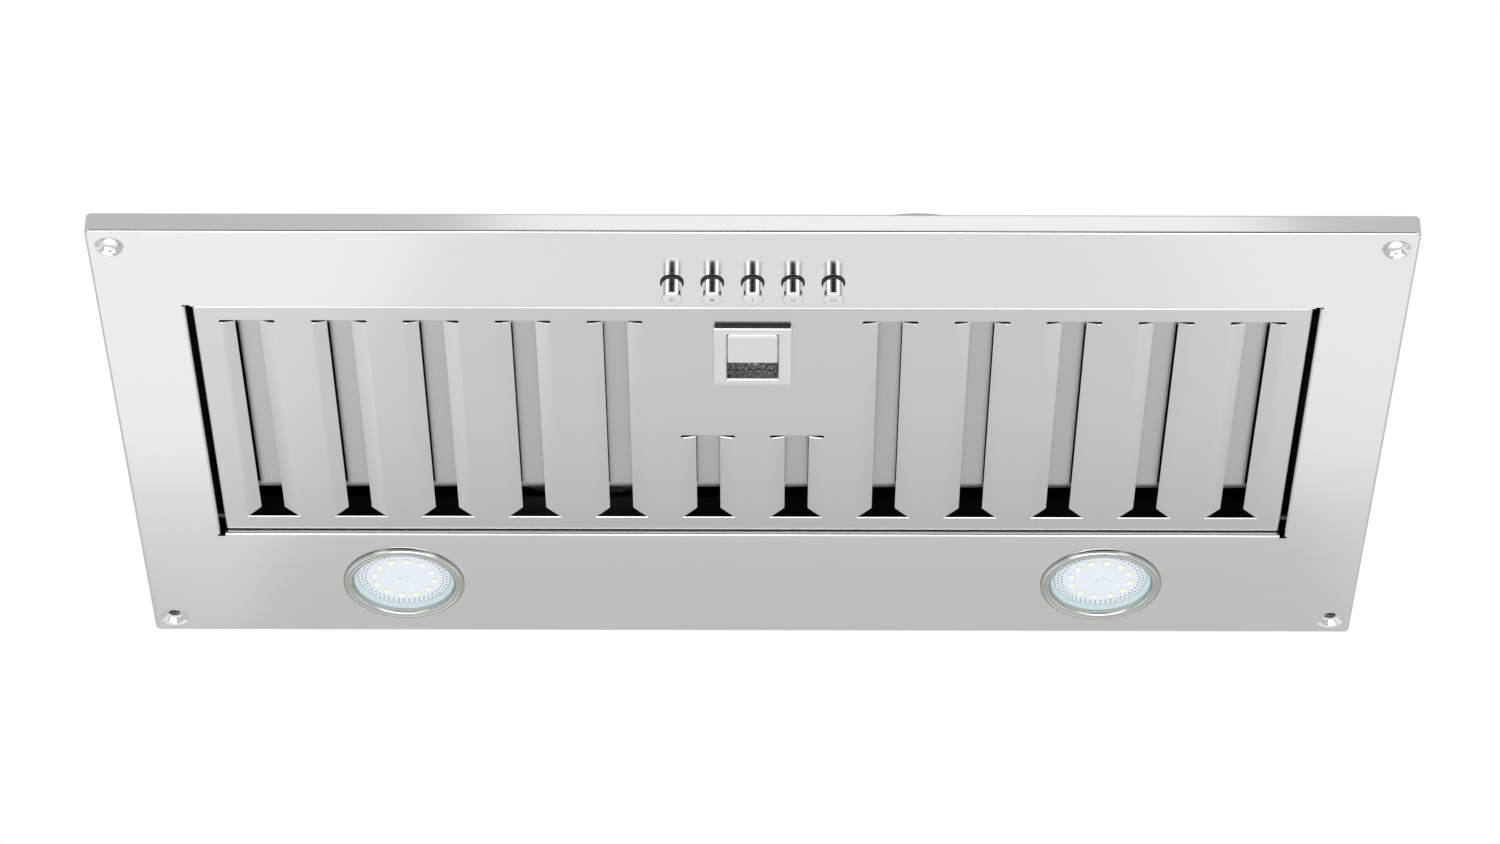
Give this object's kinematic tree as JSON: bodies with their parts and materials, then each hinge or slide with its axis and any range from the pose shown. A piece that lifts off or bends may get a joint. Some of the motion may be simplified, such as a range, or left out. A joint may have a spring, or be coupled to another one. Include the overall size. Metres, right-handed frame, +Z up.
{
  "type": "insert range hood",
  "caption": "Built-in range hood insert: stainless panel with a hinged slotted baffle filter, push buttons and round lamps, over a sump, blower and duct collar.",
  "frame": {"origin": "centre of the rim's seating plane, the top edge of the panel's upturned rim, where the panel meets the canopy", "axes": "+X along the panel's length to the right as the cook faces it, +Y from the button side to the lamp side, +Z up into the canopy"},
  "size_m": [0.7, 0.38, 0.1822],
  "materials": {
    "panel_steel": "fine grain along the panel's length, bright",
    "filter_steel": "smooth satin stainless",
    "galvanised": "galvanised sheet with a faint spangle",
    "bright_steel": "bright drawn steel",
    "button_chrome": "polished barrel, satin end",
    "latch_chrome": "satin chrome plating",
    "bush_black": "black moulded plastic",
    "switch_black": "black moulded plastic",
    "lead_black": "sleeved cable",
    "lead_white": "white insulated cable",
    "rubber": "soft black rubber",
    "motor_paint": "grey painted steel",
    "lamp_nickel": "satin nickel with a faint warm tint",
    "lamp_glass": "clear with a pale teal edge",
    "lamp_board": "white solder mask with yellow chips",
    "lamp_can": "die-cast",
    "driver_case": "white moulded plastic",
    "terminal_white": "off-white moulded plastic"
  },
  "bodies": {
    "root": {"face_panel": "panel_steel", "sump_housing": "galvanised", "inlet_ring": "galvanised", "scroll_base": "galvanised", "scroll_wall": "galvanised", "scroll_lid": "galvanised", "duct_collar": "galvanised", "damper_pin": "bright_steel", "motor_body": "motor_paint", "motor_mount_1": "rubber", "motor_mount_2": "rubber", "motor_mount_3": "rubber", "motor_lead": "lead_black", "junction_box": "galvanised", "junction_box_cover": "galvanised", "cable_gland": "switch_black", "terminal_block": "terminal_white", "capacitor": "terminal_white", "led_driver": "driver_case", "driver_lead": "lead_black", "lead_grommet": "rubber", "switch_body": "switch_black", "switch_bracket": "galvanised", "switch_lead": "lead_black", "button_bush_1": "bush_black", "button_bush_2": "bush_black", "button_bush_3": "bush_black", "button_bush_4": "bush_black", "button_bush_5": "bush_black", "lamp_bezel_left": "lamp_nickel", "lamp_lens_left": "lamp_glass", "lamp_board_left": "lamp_board", "lamp_can_left": "lamp_can", "lamp_clip_left_a": "bright_steel", "lamp_clip_left_b": "bright_steel", "lamp_lead_left": "lead_white", "lamp_bezel_right": "lamp_nickel", "lamp_lens_right": "lamp_glass", "lamp_board_right": "lamp_board", "lamp_can_right": "lamp_can", "lamp_clip_right_a": "bright_steel", "lamp_clip_right_b": "bright_steel", "lamp_lead_right": "lead_white"},
    "push_button_1": {"button_1": "button_chrome"},
    "push_button_2": {"button_2": "button_chrome"},
    "push_button_3": {"button_3": "button_chrome"},
    "push_button_4": {"button_4": "button_chrome"},
    "push_button_5": {"button_5": "button_chrome"},
    "wheel": {"impeller": "galvanised", "motor_shaft": "bright_steel"},
    "flap_left": {"damper_flap_left": "galvanised"},
    "flap_right": {"damper_flap_right": "galvanised"},
    "filter": {"filter_front": "filter_steel", "filter_rear_baffle": "filter_steel", "filter_pin_left": "bright_steel", "filter_pin_right": "bright_steel", "latch_bezel": "latch_chrome", "latch_spring": "bright_steel"},
    "catch": {"latch_slider": "latch_chrome"}
  },
  "joints": [
    {"name": "button_1_press", "type": "slide", "parent": "root", "child": "push_button_1", "axis": [0, 0, 1], "range_m": [0, 0.0035], "stiffness_N_per_m": 300, "springref_m": -0.001},
    {"name": "button_2_press", "type": "slide", "parent": "root", "child": "push_button_2", "axis": [0, 0, 1], "range_m": [0, 0.0035], "stiffness_N_per_m": 300, "springref_m": -0.001},
    {"name": "button_3_press", "type": "slide", "parent": "root", "child": "push_button_3", "axis": [0, 0, 1], "range_m": [0, 0.0035], "stiffness_N_per_m": 300, "springref_m": -0.001},
    {"name": "button_4_press", "type": "slide", "parent": "root", "child": "push_button_4", "axis": [0, 0, 1], "range_m": [0, 0.0035], "stiffness_N_per_m": 300, "springref_m": -0.001},
    {"name": "button_5_press", "type": "slide", "parent": "root", "child": "push_button_5", "axis": [0, 0, 1], "range_m": [0, 0.0035], "stiffness_N_per_m": 300, "springref_m": -0.001},
    {"name": "filter_swing", "type": "hinge", "parent": "root", "child": "filter", "pos_m": [0, 0.079, -0.0064], "axis": [1, 0, 0], "range_deg": [0, 75]},
    {"name": "latch_slide", "type": "slide", "parent": "filter", "child": "catch", "axis": [0, 1, 0], "range_m": [0, 0.006], "stiffness_N_per_m": 200, "springref_m": -0.002, "deforming": ["latch_spring"]},
    {"name": "wheel_spin", "type": "hinge", "parent": "root", "child": "wheel", "pos_m": [-0.1, 0.082, 0.09], "axis": [0, 0, 1], "continuous": true},
    {"name": "flap_left_swing", "type": "hinge", "parent": "root", "child": "flap_left", "pos_m": [0.095, 0.085, 0.127], "axis": [0, 1, 0], "range_deg": [0, 80]},
    {"name": "flap_right_swing", "type": "hinge", "parent": "root", "child": "flap_right", "pos_m": [0.095, 0.085, 0.127], "axis": [0, -1, 0], "range_deg": [0, 80]}
  ]
}
